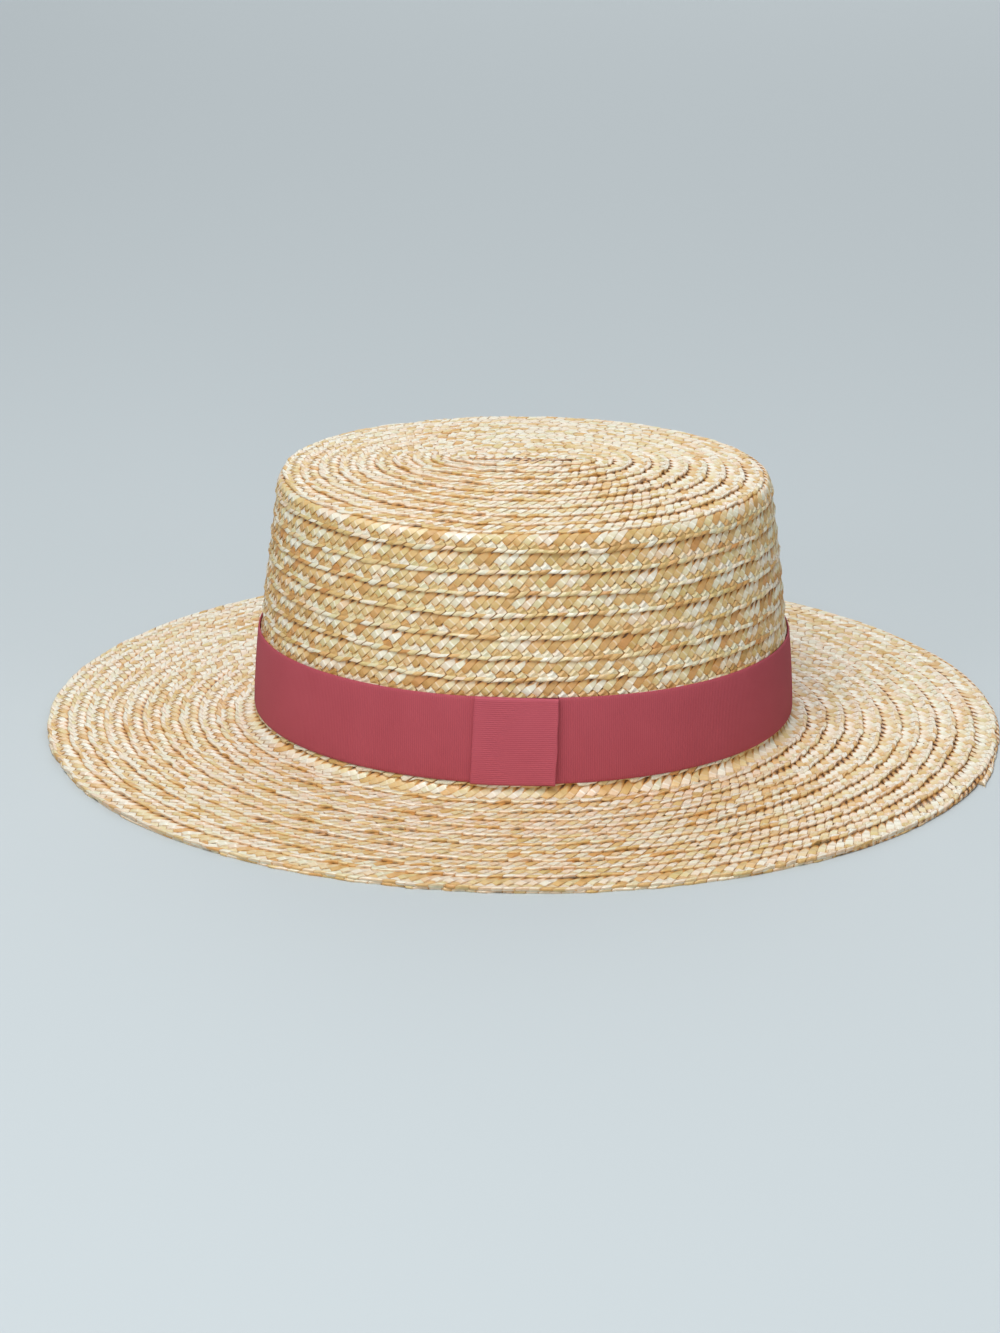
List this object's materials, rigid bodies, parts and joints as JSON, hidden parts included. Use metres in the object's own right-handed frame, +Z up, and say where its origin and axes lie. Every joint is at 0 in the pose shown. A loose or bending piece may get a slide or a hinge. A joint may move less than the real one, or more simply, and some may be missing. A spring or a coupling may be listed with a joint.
{
  "type": "straw boater hat",
  "caption": "Boater hat of sewn straw plait with a flat-topped oval crown, a level brim and a plain ribbon band with a folded keeper.",
  "frame": {"origin": "on the surface under the middle of the hat, which stands on its brim", "axes": "+Z up through the crown, X along the head's long way, -Y towards the side with the ribbon keeper"},
  "size_m": [0.36, 0.323, 0.1038],
  "materials": {
    "straw": "natural wheat straw plait, satin, pale and ochre straws mixed",
    "ribbon": "matt rose-red grosgrain ribbon with fine ribs"
  },
  "bodies": {
    "root": {"crown": "straw", "brim": "straw", "brim_edge_row": "straw", "hat_band": "ribbon", "band_keeper": "ribbon"}
  },
  "joints": []
}
